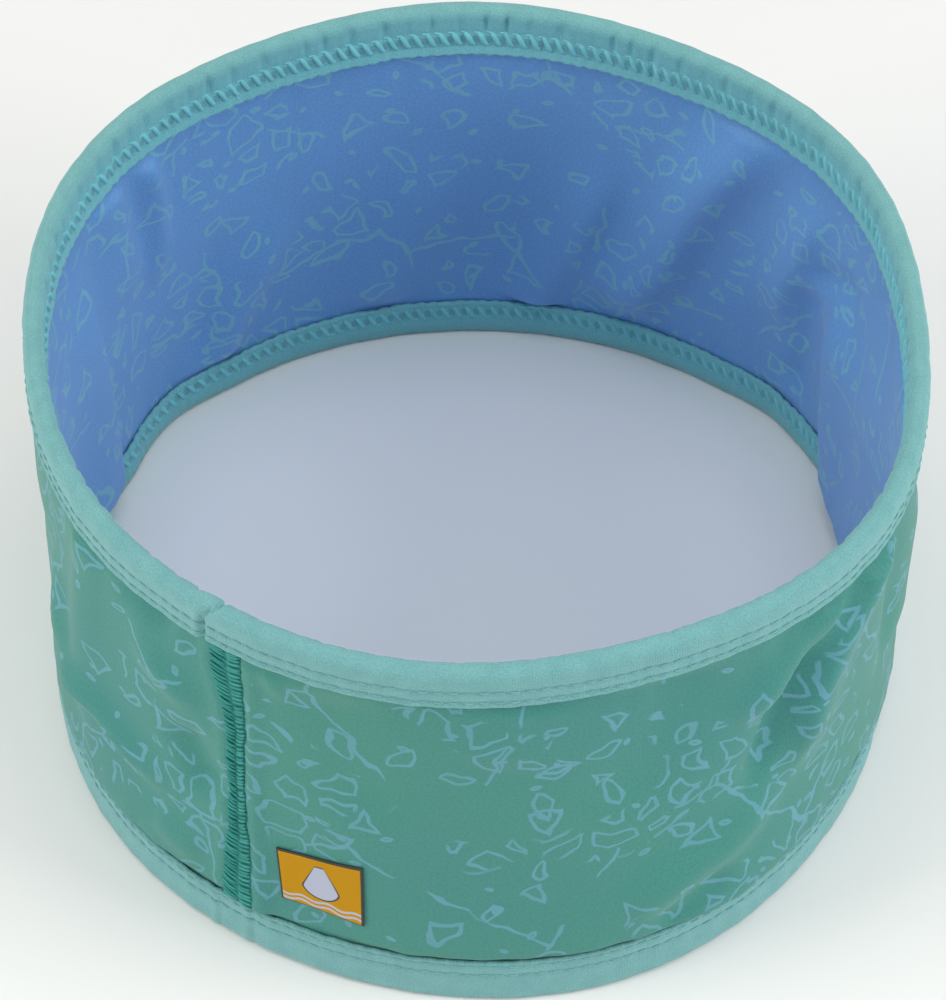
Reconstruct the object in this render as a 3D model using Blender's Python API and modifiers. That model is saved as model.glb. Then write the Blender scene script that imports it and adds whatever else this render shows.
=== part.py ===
"""Cooling neck gaiter: two tubes of cloth, one inside the other, bound at both rims.

Metres, +Z up. The piece stands on its lower rim with the middle of its box over the origin.
Angles are in degrees round +Z from +X, so the front is at 270 and the left side at 180.
Every surface is a function of two parameters: a share of the way round or across, and a share
of the way up or along a profile. A flat grid is rolled up by that function and given its wall.
"""

import math

import bmesh
import bpy
import numpy as np

OBJECT_NAME = "neck_gaiter"

# Driving sizes in metres. The neck radius is measured midway between the two cloths.
NECK_RADIUS = 0.075
FOOT_RADIUS = 0.0764
HEIGHT = 0.088
CLOTH_WALL = 0.001
BINDING_WALL = 0.001
LAYER_GAP = 0.0003
SEAT_GAP = 0.0003

# The tape's legs, from the fold to the raw edge, outside and inside.
TOP_OUTER_LEG = 0.0078
TOP_INNER_LEG = 0.0108
FOOT_OUTER_LEG = 0.0106
FOOT_INNER_LEG = 0.0088
FOOT_CHAMFER = 0.0009

# How far the cloth stands off its plain wall where a fold or the slack above the tape is fullest.
FOLD_REACH = 0.003
SLACK_REACH = 0.0022

SEAM_WALL = 0.001
SEAM_WIDTH = 0.0064
SEAM_ANGLE = 238.2

# The label stands above the lower tape and its middle lies to the right of the seam's foot.
LABEL_WIDTH = 0.0155
LABEL_HEIGHT = 0.0148
LABEL_WALL = 0.001
LABEL_FROM_SEAM = 0.0156
LABEL_RISE = 0.0074

# How finely each piece is divided.
ROUND_SEGMENTS = 80
FOLD_STEPS = 4
SEAM_SEGMENTS = (2, 16)
LABEL_SEGMENTS = (6, 6)

# How each rim departs from a circle: lobes round the rim, share of its radius, and where one lobe points.
TOP_LOBES = (
    {"lobes": 2, "share": 0.016, "towards": 150},
    {"lobes": 4, "share": 0.010, "towards": 52},
    {"lobes": 5, "share": 0.005, "towards": 29},
    {"lobes": 6, "share": 0.008, "towards": 28},
)
FOOT_LOBES = (
    {"lobes": 2, "share": 0.009, "towards": 84},
    {"lobes": 3, "share": 0.012, "towards": 29},
    {"lobes": 4, "share": 0.008, "towards": 31},
    {"lobes": 5, "share": 0.004, "towards": 1},
)

# Folds: the crest's angle at the lower and the upper tape, its half width in degrees, where it starts and
# ends as shares of the open height, and its reach as a share of FOLD_REACH, outwards when positive.
FOLD_COLUMNS = ("foot", "head", "half", "low", "high", "reach")
SHARED_FOLDS = (
    (70, 38, 7, 0.0, 1.0, 0.8),
    (80, 63, 6, 0.0, 0.8, 0.5),
    (103, 88, 7, 0.0, 0.75, 0.5),
    (132, 115, 6, 0.0, 0.6, -0.4),
    (186, 182, 14, 0.5, 1.0, -0.4),
    (356, 358, 14, 0.5, 1.0, -0.4),
)
OUTER_FOLDS = (
    (198, 190, 9, 0.1, 0.85, 0.3),
    (212, 218, 6, 0.0, 1.0, 0.5),
    (232, 221, 5, 0.2, 0.9, 0.3),
    (310, 326, 6, 0.1, 1.0, 0.7),
    (325, 306, 6, 0.0, 0.9, 0.4),
    (346, 350, 9, 0.2, 0.9, 0.5),
)
LINING_FOLDS = (
    (160, 156, 8, 0.0, 0.75, 0.9),
    (140, 143, 6, 0.35, 1.0, 0.6),
    (22, 25, 8, 0.0, 0.65, 0.5),
    (6, 12, 14, 0.0, 0.9, 1.1),
    (48, 42, 6, 0.15, 0.8, 0.5),
)

# Fullness of the slack cloth over the lower tape: angle, then the share of SLACK_REACH there.
OUTER_SLACK = ((0, 0.1), (60, 0.5), (120, 0.5), (180, 0.1), (207, 0.7), (241, 0.35), (255, 0.85),
               (275, 0.5), (300, 1.0), (330, 0.4))
LINING_SLACK = ((0, 0.4), (90, 0.3), (180, 0.4), (270, 0.3))

# How the slack runs up the open height: share of the height, share of its fullness there.
SLACK_RUN = ((0.0, 0.0), (0.06, 0.75), (0.16, 1.0), (0.4, 0.55), (0.7, 0.2), (0.93, 0.3), (1.0, 0.0))

# Rows of the cloth as shares of the open height between the tapes.
CLOTH_ROWS = (0.0, 0.05, 0.15, 0.3, 0.5, 0.7, 0.87, 1.0)

# The side seam: share of the open height, degrees to the right of SEAM_ANGLE, and share of SEAM_WIDTH.
SEAM_RUN = (
    (0.0, 0.0, 1.0),
    (0.14, 0.4, 0.7),
    (0.45, 0.2, 0.5),
    (0.75, 0.4, 0.5),
    (0.88, -0.6, 0.7),
    (1.0, -0.4, 1.0),
)

# Sizes that follow from the ones above.
CLOTH_HALF = LAYER_GAP / 2 + CLOTH_WALL
BINDING_HALF = CLOTH_HALF + SEAT_GAP + BINDING_WALL
CLOTH_FOOT = BINDING_WALL + SEAT_GAP
CLOTH_HEAD = HEIGHT - BINDING_HALF
OPEN_FOOT = max(FOOT_OUTER_LEG, FOOT_INNER_LEG)
OPEN_HEAD = HEIGHT - max(TOP_OUTER_LEG, TOP_INNER_LEG)


def rim_radius(radius, lobes, angle):
    """A rim's radius: its mean, plus one cosine wave round the rim for each row of the table."""
    waves = sum(row["share"] * np.cos(row["lobes"] * (angle - math.radians(row["towards"]))) for row in lobes)
    return radius * (1 + waves)


def wall_radius(angle, rise):
    """The plain wall midway between the cloths: straight from the lower rim to the upper one."""
    share = rise / HEIGHT
    foot = rim_radius(FOOT_RADIUS, FOOT_LOBES, angle)
    head = rim_radius(NECK_RADIUS, TOP_LOBES, angle)
    return foot + (head - foot) * share


def place(angle, rise, off):
    """The point at an angle and a height, a distance off the plain wall, as an array of x, y and z."""
    radius = wall_radius(angle, rise) + off
    return np.stack([radius * np.cos(angle), radius * np.sin(angle), rise + 0 * angle], axis=-1)


def open_share(rise):
    """The height as a share of the open cloth between the two tapes, 0 to 1."""
    return np.clip((rise - OPEN_FOOT) / (OPEN_HEAD - OPEN_FOOT), 0, 1)


def fold_relief(table, angle, share):
    """The sum of the folds: each a bell across its crest, times a hump from its low end to its high end."""
    relief = np.zeros(np.broadcast(angle, share).shape)
    for row in table:
        fold = dict(zip(FOLD_COLUMNS, row))
        crest = np.radians(fold["foot"] + (fold["head"] - fold["foot"]) * share)
        turn = np.degrees(np.angle(np.exp(1j * (angle - crest))))
        hump = np.clip((share - fold["low"]) / (fold["high"] - fold["low"]), 0, 1)
        bell = np.exp(-((turn / fold["half"]) ** 2))
        relief += fold["reach"] * bell * np.sqrt(np.abs(np.sin(math.pi * hump)))
    return relief * FOLD_REACH


def slack_relief(table, angle, share):
    """The slack over the tape: its fullness round the rim, times its run up the open height."""
    turns, fullness = np.transpose(table)
    around = np.interp(np.degrees(angle) % 360, turns, fullness, period=360)
    return SLACK_REACH * around * np.interp(share, *np.transpose(SLACK_RUN))


def ruled(relief, angle, rise):
    """A relief read only on the cloth's rows and straight between them, as the cloth's facets run."""
    share = open_share(rise)
    row = np.clip(np.searchsorted(CLOTH_ROWS, share, side="right") - 1, 0, len(CLOTH_ROWS) - 2)
    rows = np.array(CLOTH_ROWS)
    below, above = rows[row], rows[row + 1]
    part = (share - below) / (above - below)
    return relief(angle, below) * (1 - part) + relief(angle, above) * part


def outer_relief(angle, share):
    own = fold_relief(OUTER_FOLDS, angle, share) + slack_relief(OUTER_SLACK, angle, share)
    return own + fold_relief(SHARED_FOLDS, angle, share)


def lining_relief(angle, share):
    own = fold_relief(LINING_FOLDS, angle, share) + slack_relief(LINING_SLACK, angle, share)
    return fold_relief(SHARED_FOLDS, angle, share) - own


def outer_inside(angle, rise):
    """The outer cloth's inner face."""
    return place(angle, rise, LAYER_GAP / 2 + ruled(outer_relief, angle, rise))


def outer_outside(angle, rise, off):
    """A distance off the outer cloth's outer face."""
    return place(angle, rise, CLOTH_HALF + ruled(outer_relief, angle, rise) + off)


def lining_outside(angle, rise):
    """The lining's face towards the outer cloth."""
    return place(angle, rise, -LAYER_GAP / 2 + ruled(lining_relief, angle, rise))


def cloth_heights():
    """The rows of both cloths: their hidden edges in the tapes, and the rows of the open height."""
    rows = [OPEN_FOOT + share * (OPEN_HEAD - OPEN_FOOT) for share in CLOTH_ROWS]
    return np.array([CLOTH_FOOT, *rows, CLOTH_HEAD])


def top_profile():
    """The upper tape's outer face in section, as (off, rise): up the outside, over the fold, down the inside."""
    turns = np.linspace(0, math.pi, FOLD_STEPS + 1)
    fold = [(BINDING_HALF * math.cos(t), HEIGHT - BINDING_HALF * (1 - math.sin(t))) for t in turns]
    return np.array([(BINDING_HALF, HEIGHT - TOP_OUTER_LEG), *fold, (-BINDING_HALF, HEIGHT - TOP_INNER_LEG)])


def foot_profile():
    """The lower tape's outer face in section: down the inside, flat where it rests, up the outside."""
    flat = BINDING_HALF - FOOT_CHAMFER
    return np.array([
        (-BINDING_HALF, FOOT_INNER_LEG),
        (-BINDING_HALF, FOOT_CHAMFER),
        (-flat, 0.0),
        (flat, 0.0),
        (BINDING_HALF, FOOT_CHAMFER),
        (BINDING_HALF, FOOT_OUTER_LEG),
    ])


def at_share(values, share):
    """A list of values read at a share of its length, straight between them."""
    return np.interp(share, np.linspace(0, 1, len(values)), values)


def round_turn(across):
    """The share of the way round as an angle from +X."""
    return across * 2 * math.pi


def outer_shell_surface(across, along):
    return outer_inside(round_turn(across), at_share(cloth_heights(), along))


def lining_surface(across, along):
    return lining_outside(round_turn(across), at_share(cloth_heights(), along))


def binding_surface(profile, across, along):
    off, rise = profile.T
    return place(round_turn(across), at_share(rise, along), at_share(off, along))


def top_binding_surface(across, along):
    return binding_surface(top_profile(), across, along)


def foot_binding_surface(across, along):
    return binding_surface(foot_profile(), across, along)


def side_seam_surface(across, along):
    """A strip on the outer cloth from tape to tape, its middle and width read from the seam's run."""
    shares, leans, widths = np.transpose(SEAM_RUN)
    low = FOOT_OUTER_LEG + SEAT_GAP
    high = HEIGHT - TOP_OUTER_LEG - SEAT_GAP
    rise = low + (high - low) * along
    width = SEAM_WIDTH * np.interp(along, shares, widths)
    middle = np.radians(SEAM_ANGLE + np.interp(along, shares, leans))
    return outer_outside(middle + (across - 0.5) * width / NECK_RADIUS, rise, SEAT_GAP)


def label_surface(across, along):
    """A patch laid on the outer cloth above the lower tape."""
    reach = LABEL_FROM_SEAM + (across - 0.5) * LABEL_WIDTH
    angle = math.radians(SEAM_ANGLE) + reach / NECK_RADIUS
    return outer_outside(angle, FOOT_OUTER_LEG + LABEL_RISE + LABEL_HEIGHT * along, SEAT_GAP)


def clear_scene():
    for old in list(bpy.data.objects):
        bpy.data.objects.remove(old, do_unlink=True)


def new_material(name, colour, roughness):
    material = bpy.data.materials.new(name)
    material.use_nodes = True
    shader = material.node_tree.nodes["Principled BSDF"]
    shader.inputs["Base Color"].default_value = (*colour, 1)
    shader.inputs["Roughness"].default_value = roughness
    shader.inputs["Metallic"].default_value = 0
    return material


def walled_sheet(name, surface, segments, wall, side, closed):
    """Rolls a flat grid up by a surface of two shares and gives it its wall, outwards when side is 1."""
    bm = bmesh.new()
    bmesh.ops.create_grid(bm, x_segments=segments[0], y_segments=segments[1], size=0.5)
    shares = np.array([vertex.co for vertex in bm.verts])[:, :2] + 0.5
    for vertex, point in zip(bm.verts, surface(shares[:, 0], shares[:, 1])):
        vertex.co = point
    if closed:
        bmesh.ops.remove_doubles(bm, verts=bm.verts, dist=1e-6)
    mesh = bpy.data.meshes.new(name)
    bm.to_mesh(mesh)
    bm.free()
    mesh.shade_smooth()
    sheet = bpy.data.objects.new(name, mesh)
    solidify = sheet.modifiers.new("wall", "SOLIDIFY")
    solidify.thickness = wall
    solidify.offset = side
    solidify.use_even_offset = True
    return sheet


def middle_of(objects):
    """The middle of all the pieces' boxes, seen from above."""
    bpy.context.view_layer.update()
    graph = bpy.context.evaluated_depsgraph_get()
    corners = np.array([corner for piece in objects for corner in piece.evaluated_get(graph).bound_box])
    return (corners.min(axis=0) + corners.max(axis=0)) / 2


def build():
    clear_scene()
    collection = bpy.data.collections.new(OBJECT_NAME)
    bpy.context.scene.collection.children.link(collection)
    outer = new_material("printed_outer_knit", (0.075, 0.27, 0.22), 0.75)
    lining = new_material("printed_lining_knit", (0.07, 0.17, 0.45), 0.75)
    tape = new_material("brushed_stretch_tape", (0.19, 0.42, 0.42), 0.85)
    thread = new_material("overlock_thread", (0.03, 0.21, 0.18), 0.7)
    patch = new_material("woven_patch", (0.52, 0.28, 0.02), 0.7)
    cloth_grid = (ROUND_SEGMENTS, len(cloth_heights()) - 1)
    top_grid = (ROUND_SEGMENTS, len(top_profile()) - 1)
    foot_grid = (ROUND_SEGMENTS, len(foot_profile()) - 1)
    pieces = (
        ("outer_shell", outer_shell_surface, cloth_grid, CLOTH_WALL, 1, True, outer),
        ("inner_lining", lining_surface, cloth_grid, CLOTH_WALL, -1, True, lining),
        ("top_binding", top_binding_surface, top_grid, BINDING_WALL, -1, True, tape),
        ("bottom_binding", foot_binding_surface, foot_grid, BINDING_WALL, -1, True, tape),
        ("side_seam", side_seam_surface, SEAM_SEGMENTS, SEAM_WALL, 1, False, thread),
        ("label", label_surface, LABEL_SEGMENTS, LABEL_WALL, 1, False, patch),
    )
    made = []
    for name, surface, segments, wall, side, closed, material in pieces:
        piece = walled_sheet(name, surface, segments, wall, side, closed)
        piece.data.materials.append(material)
        collection.objects.link(piece)
        made.append(piece)
    middle = middle_of(made)
    for piece in made:
        piece.location = (-middle[0], -middle[1], 0)


build()
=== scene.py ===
import math

import bpy
import numpy as np
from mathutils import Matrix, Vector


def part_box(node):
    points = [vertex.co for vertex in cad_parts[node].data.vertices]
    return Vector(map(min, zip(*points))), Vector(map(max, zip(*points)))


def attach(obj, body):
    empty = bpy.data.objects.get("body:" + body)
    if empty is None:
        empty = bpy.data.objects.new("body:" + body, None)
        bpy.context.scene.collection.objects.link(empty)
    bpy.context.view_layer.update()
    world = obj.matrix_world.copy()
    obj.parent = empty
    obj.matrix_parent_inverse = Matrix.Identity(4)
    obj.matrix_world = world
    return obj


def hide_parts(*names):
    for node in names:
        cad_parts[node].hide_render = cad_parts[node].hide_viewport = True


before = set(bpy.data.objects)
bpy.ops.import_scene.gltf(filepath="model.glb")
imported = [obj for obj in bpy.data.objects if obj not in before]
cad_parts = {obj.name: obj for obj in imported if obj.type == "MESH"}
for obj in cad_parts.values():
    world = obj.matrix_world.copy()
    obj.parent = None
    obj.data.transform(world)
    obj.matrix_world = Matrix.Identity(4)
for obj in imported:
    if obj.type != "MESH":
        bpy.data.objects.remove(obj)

bl_info = {
    "name": "Cooling neck gaiter",
    "version": (1, 0, 0),
    "blender": (4, 5, 0),
    "location": "3D View > Sidebar > Gaiter",
    "description": "Dresses the neck gaiter in printed cloth, tape, stitches and its patch",
    "category": "Add Mesh",
}

# Lengths in this file are metres, angles are degrees round +Z from +X, so the front is at 270.
MM = 0.001
DEGREE = math.pi / 180 * 75  # mm along the rim in a degree, by which stitches and patterns are spaced
UV_SPAN = 0.5  # length that the cloths' and tapes' UV maps span
FIRST_COLUMN = 238.2  # angle of the seam, where both cloths start
AIM = (-0.00098, 0.00078, 0.039)

# Rims, as in the solids: lobes round the rim, share of its radius, and where one lobe points.
TOP_LOBES = ((2, 0.016, 150), (4, 0.010, 52), (5, 0.005, 29), (6, 0.008, 28))
FOOT_LOBES = ((2, 0.009, 84), (3, 0.012, 29), (4, 0.008, 31), (5, 0.004, 1))
MIDDLE = (-0.00036, 0.00078)

# Corners that the rims keep from being folded flat: angle, width in degrees, reach in mm above and below.
RIM_CORNERS = ((139, 7, 0.2, 1.5), (151, 5, 0, -0.5), (43, 6, 0, 1.1), (10, 14, 0, -3),
               (344, 8, 0, -0.9))

# Stand-off of each face from the plain wall that runs midway between the cloths.
CLOTH_FACE = 0.85 * MM
CLOTH_WALL = 0.5 * MM
TAPE_HALF = 1.75 * MM
TAPE_WALL = 0.75 * MM

# From the rim: the tapes' raw edges outside and inside, the two needle rows and the two rows of the chain.
UPPER_TAPE = {"outer": 7.8 * MM, "inner": 10.8 * MM, "needles": (4.4 * MM, 6.8 * MM),
              "chain": (5.4 * MM, 8.7 * MM)}
LOWER_TAPE = {"outer": 10.6 * MM, "inner": 8.8 * MM, "needles": (7.3 * MM, 9.8 * MM),
              "chain": (4.6 * MM, 7.6 * MM)}
STITCHES = 196

# Creases: reach in mm, width in mm on the side of smaller and of larger angles, fade-in and fade-out as
# shares of the crease's length, then its crest from the upper to the lower end as (angle, share of height).
SHARED_CREASES = (
    (-4.7, 5.8, 7.4, 0.3, 0.15, ((43, 0.95), (48, 0.8), (52, 0.7), (56, 0.58), (59, 0.46), (62, 0.33), (67, 0.2),
                                 (70, 0.1))),
    (-2.7, 4.5, 6, 0.4, 0.1, ((70, 0.64), (72, 0.5), (75, 0.34), (80, 0.17), (82, 0.07))),
    (-1.5, 6, 9, 0.4, 0.15, ((95, 0.62), (97, 0.5), (104, 0.2), (106, 0.08))),
    (-1.9, 3, 5.5, 0.4, 0.05, ((118, 0.52), (121, 0.38), (124.5, 0.27), (128, 0.17), (132, 0.06))),
    (0.9, 4, 5, 0.4, 0.2, ((128, 0.6), (132, 0.34), (134, 0.12))),
    (-0.8, 11, 11, 0.3, 0.4, ((182, 0.95), (184, 0.5))),
    (-1.7, 11, 11, 0.2, 0.4, ((358, 0.95), (356, 0.55))),
)
OUTER_CREASES = (
    (2.4, 3, 4, 0.3, 0.3, ((199, 0.66), (202, 0.46), (208, 0.41), (214, 0.41), (221, 0.37), (231, 0.33))),
    (1.9, 4.5, 6, 0.2, 0.3, ((213, 1), (210, 0.6), (207, 0.2))),
    (1.7, 4, 3.5, 0.4, 0.4, ((221, 0.78), (228, 0.71), (235, 0.66))),
    (-1.9, 4.5, 4.5, 0.3, 0.3, ((220, 0.92), (230, 0.86))),
    (-2.4, 4, 4.5, 0.3, 0.3, ((229, 0.6), (232, 0.5), (235, 0.4))),
    (1, 4, 4, 0.3, 0.3, ((224, 0.24), (233, 0.2))),
    (0.8, 2, 2, 0.1, 0.5, ((243.4, 0.93), (244.4, 0.86), (246, 0.79))),
    (3.3, 3.2, 7, 0, 0.3, ((328, 1), (324, 0.85), (319, 0.74), (316, 0.63), (314.5, 0.5), (314, 0.36))),
    (2.5, 5, 2.8, 0.1, 0.35, ((318, 0.9), (314, 0.81), (308, 0.74), (302, 0.66))),
    (-2.9, 3.4, 3, 0.3, 0.3, ((316, 0.86), (312, 0.7), (309, 0.57), (305, 0.42))),
    (2, 6, 4, 0.3, 0.3, ((313, 0.42), (304, 0.33), (296, 0.28), (286, 0.2))),
    (-1.4, 4, 3, 0.3, 0.3, ((304, 0.26), (298, 0.2), (292, 0.15))),
    (-2.2, 5, 6, 0.1, 0.3, ((335, 0.95), (338, 0.7), (339, 0.45), (338, 0.28))),
    (1.7, 10, 12, 0.45, 0.15, ((352, 0.9), (350, 0.55), (347, 0.26))),
    (1, 9, 11, 0.2, 0.4, ((192, 0.98), (191, 0.6))),
    (-1.3, 9, 8, 0.2, 0.3, ((298, 0.95), (292, 0.7), (287, 0.5))),
    (1, 8, 8, 0.2, 0.3, ((276, 0.92), (272, 0.7))),
    (-1.2, 8, 8, 0.2, 0.3, ((250, 0.9), (254, 0.65), (258, 0.5))),
)
LINING_CREASES = (
    (2.9, 2.2, 3.6, 0.25, 0.35, ((141.5, 0.93), (139.5, 0.75), (139, 0.6), (140.5, 0.42))),
    (2.2, 2.6, 7, 0.25, 0.35, ((148.5, 0.95), (147.5, 0.78), (146, 0.62), (145, 0.45))),
    (3.3, 3, 12, 0.35, 0, ((159, 0.85), (157.5, 0.55), (156.5, 0.3), (156.5, 0.15), (158, 0))),
    (2.2, 3.5, 5, 0.3, 0.3, ((33, 0.82), (38, 0.62), (42, 0.43), (43, 0.28))),
    (-2, 4, 3.5, 0.2, 0.2, ((36, 0.54), (36, 0.45), (38, 0.22), (39, 0.12))),
    (-1.7, 3.2, 3.2, 0.3, 0.4, ((37, 0.55), (30, 0.62), (22, 0.68))),
    (3.8, 14, 4.6, 0.25, 0, ((26, 0.62), (27.5, 0.45), (27, 0.24), (24, 0.1), (21, 0))),
    (2.8, 16, 15, 0.35, 0, ((10, 0.8), (9, 0.5), (9, 0.2), (9, 0))),
    (1.6, 10, 10, 0.3, 0.2, ((225, 0.85), (218, 0.4), (214, 0.05))),
    (1.2, 12, 9, 0.3, 0.2, ((268, 0.8), (276, 0.35), (280, 0.05))),
    (1.5, 9, 9, 0.3, 0.2, ((312, 0.85), (318, 0.4), (324, 0.05))),
)

# Slack over the lower tape: angle, then how far the cloth stands off there in mm, and how far it sags over it.
OUTER_SLACK = ((0, 0.4), (60, 1.1), (120, 1.1), (180, 0.6), (200, 1.6), (222, 1.3), (236, 0.5), (241, 1.2),
               (247, 0.4), (256, 0.9), (275, 1.1), (292, 1.5), (303, 2.2), (322, 1.2), (334, 1), (344, 1.6),
               (354, 1.3))
LINING_SAG = ((0, 4.6), (12, 5), (22, 4.6), (29, 1.6), (35, 0), (60, 0), (120, 0), (148, 0), (155, 2.2),
              (160, 3.6), (170, 3.6), (184, 2), (200, 0.5), (330, 0.5), (345, 3))
OUTER_SAG = ((0, 0.4), (60, 0.4), (120, 0.4), (200, 0.9), (220, 1), (236, 0.2), (244, 0.9), (250, 0.2), (260, 0.7),
             (275, 0.6), (292, 0.7), (303, 1.2), (322, 0.6), (333, 0.8), (343, 2.6), (355, 2.6))
LINING_SLACK = ((0, 0.9), (30, 0.4), (50, -0.1), (100, -0.2), (148, -0.1), (160, 0.8), (200, 0.9), (270, 0.7),
                (330, 0.9))

# The overlock seam: share of the height, angle of its middle, width in mm.
SEAM_RUN = (
    (0.120, 238.2, 6.2), (0.200, 238.4, 5.9), (0.300, 238.6, 5), (0.380, 238.6, 3.8), (0.500, 238.5, 3.4),
    (0.620, 238.6, 3.6), (0.710, 238.6, 4.2), (0.800, 237.7, 6), (0.860, 237.5, 6.3), (0.912, 237.7, 6.1),
)

# The patch's corners as (angle, share of height): lower left, lower right, upper left, upper right.
PATCH_CORNERS = ((244.8, 0.212), (255.9, 0.204), (244, 0.355), (255.8, 0.382))


def linear(hex_colour):
    """An sRGB colour as #RRGGBB turned to linear red, green and blue."""
    channels = [int(hex_colour[place:place + 2], 16) / 255 for place in (1, 3, 5)]
    return tuple(c / 12.92 if c <= 0.04045 else ((c + 0.055) / 1.055) ** 2.4 for c in channels)



def smooth(share):
    """0 to 1 with level ends: three shares squared less two shares cubed."""
    share = np.clip(share, 0, 1)
    return share * share * (3 - 2 * share)


def bell(distance, width):
    """A bell: e to the minus square of distance over width."""
    return np.exp(-((distance / width) ** 2))


def rim_radius(mean, lobes, angle):
    """A rim: its mean radius times one, plus a cosine wave round the rim for each row of lobes."""
    return mean * (1 + sum(share * np.cos(count * np.radians(angle - towards)) for count, share, towards in lobes))


def wall_radius(angle, rise):
    """The plain wall between the cloths: a straight line from the lower rim to the upper one, each with its lobes
    and a bell of the turn for each corner."""
    sizes = bpy.context.scene.gaiter_sizes
    foot = rim_radius(sizes.foot_radius, FOOT_LOBES, angle)
    head = rim_radius(sizes.neck_radius, TOP_LOBES, angle)
    for towards, width, above, below in RIM_CORNERS:
        share = bell(turn_between(angle, towards), width) * MM
        foot, head = foot + below * share, head + above * share
    return foot + (head - foot) * rise / sizes.height


def place(angle, rise, off):
    """Points at an angle, a height and a distance off the plain wall."""
    radius = wall_radius(angle, rise) + off
    turn = np.radians(angle)
    across = MIDDLE[0] + radius * np.cos(turn)
    deep = MIDDLE[1] + radius * np.sin(turn)
    return np.stack(np.broadcast_arrays(across, deep, rise), axis=-1)


def uneven(across, spans, seed):
    """An irregular wave between about -1 and 1: equal sines of the given wave lengths with fixed phases."""
    waves = (np.sin(2 * math.pi * across / span + seed * (1.7 + 2.3 * k)) for k, span in enumerate(spans))
    return sum(waves) / len(spans)


def turn_between(angle, other):
    """The shortest turn from other to angle, in degrees."""
    return (angle - other + 180) % 360 - 180


def crease_relief(table, angle, rise):
    """The sum of the creases. Each is a bell of the distance to its crest line on the unrolled cloth, with its
    own width on either side, and rises from and sinks to nothing along its fades."""
    sizes = bpy.context.scene.gaiter_sizes
    degree = sizes.neck_radius * math.pi / 180
    relief = np.zeros(np.broadcast(angle, rise).shape)
    for reach, before, after, fade_in, fade_out, crest in table:
        origin = crest[0][0]
        line = np.array([(turn_between(a, origin) * degree, share * sizes.height) for a, share in crest])
        here = np.stack(np.broadcast_arrays(turn_between(angle, origin) * degree, rise), axis=-1)
        steps = np.linalg.norm(np.diff(line, axis=0), axis=1)
        starts = np.concatenate([[0], np.cumsum(steps)])
        nearest = np.full(relief.shape, np.inf)
        side = np.zeros(relief.shape)
        along = np.zeros(relief.shape)
        for start, end, step, done in zip(line[:-1], line[1:], steps, starts):
            way = (end - start) / step
            offset = here - start
            run = np.clip(offset @ way, 0, step)
            distance = np.linalg.norm(offset - run[..., None] * way, axis=-1)
            closer = distance < nearest
            nearest = np.where(closer, distance, nearest)
            side = np.where(closer, way[0] * offset[..., 1] - way[1] * offset[..., 0], side)
            along = np.where(closer, (done + run) / starts[-1], along)
        blend = 0.5 + 0.5 * np.tanh(side / (1.5 * MM))
        width = (before + (after - before) * blend) * MM
        rising = smooth(along / fade_in) if fade_in else 1
        sinking = smooth((1 - along) / fade_out) if fade_out else 1
        relief += reach * MM * bell(nearest, width) * rising * sinking
    return relief


def slack_relief(table, angle, rise, edge):
    """Slack over the lower tape's edge: its fullness round the rim, reached 2.6 mm up, let off to a quarter of it by
    a bell, and gone 66 mm up."""
    turns, fullness = np.transpose(table)
    above = (rise - edge) / MM
    run = smooth(above / 2.6) * (0.25 + 0.75 * np.exp(-((np.maximum(above - 3.5, 0) / 11) ** 2)))
    return np.interp(angle % 360, turns, fullness, period=360) * MM * run * smooth((66 - above) / 30)


def sagged(table, angle, rise, edge):
    """The height once the slack has sagged over the lower tape: its depth round the rim, reached 2 mm above the
    tape's edge and let off over 7 mm."""
    turns, depth = np.transpose(table)
    above = (rise - edge) / MM
    run = smooth(above / 2.2) * np.exp(-((np.maximum(above - 2.4, 0) / 7) ** 2))
    return rise - np.interp(angle % 360, turns, depth, period=360) * MM * run


def tucked(rise, low, high):
    """1 on the open cloth and 0 under the tapes, over 2.5 mm above the lower edge and 3.5 mm below the upper."""
    return smooth((rise - low) / (2.5 * MM)) * smooth((high - rise) / (3.5 * MM))


def ripples(angle, rise, low, high, seed):
    """Small upright waves that the tape's stitches pull into the cloth, dying away from either edge."""
    across = angle * DEGREE
    near_low = np.exp(-np.maximum(rise - low, 0) / (5 * MM))
    near_high = np.exp(-np.maximum(high - rise, 0) / (6 * MM))
    waves = uneven(across, (11.2, 7.1, 17.3, 5.3), seed) * near_high
    waves = waves + uneven(across, (9.4, 6.3, 14.7), seed + 2) * near_low
    drift = uneven(across + rise / MM * 0.35, (47.1, 33.6, 26.2), seed + 5)
    return (0.34 * waves + 0.28 * drift) * MM


def seam_at(rise):
    """The seam's middle angle and its width at a height."""
    share, middle, width = np.transpose(SEAM_RUN)
    up = rise / bpy.context.scene.gaiter_sizes.height
    across = rise / MM
    return (np.interp(up, share, middle) + 0.12 * uneven(across, (9.1, 5.7, 13.3), 3),
            (np.interp(up, share, width) + 0.35 * uneven(across, (4.3, 6.9, 11.7), 6)) * MM)


def seam_roll(angle, rise):
    """The cloth rolls up on both sides of the seam, more on the right, and sinks a little under it."""
    middle, width = seam_at(rise)
    across = turn_between(angle, middle) * math.pi / 180 * bpy.context.scene.gaiter_sizes.neck_radius
    right = 0.85 * bell(across - width / 2 - 1.3 * MM, 1.5 * MM)
    left = 0.45 * bell(across + width / 2 + 1.0 * MM, 1.1 * MM)
    return (right + left - 0.25 * bell(across, width / 2)) * MM


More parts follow.
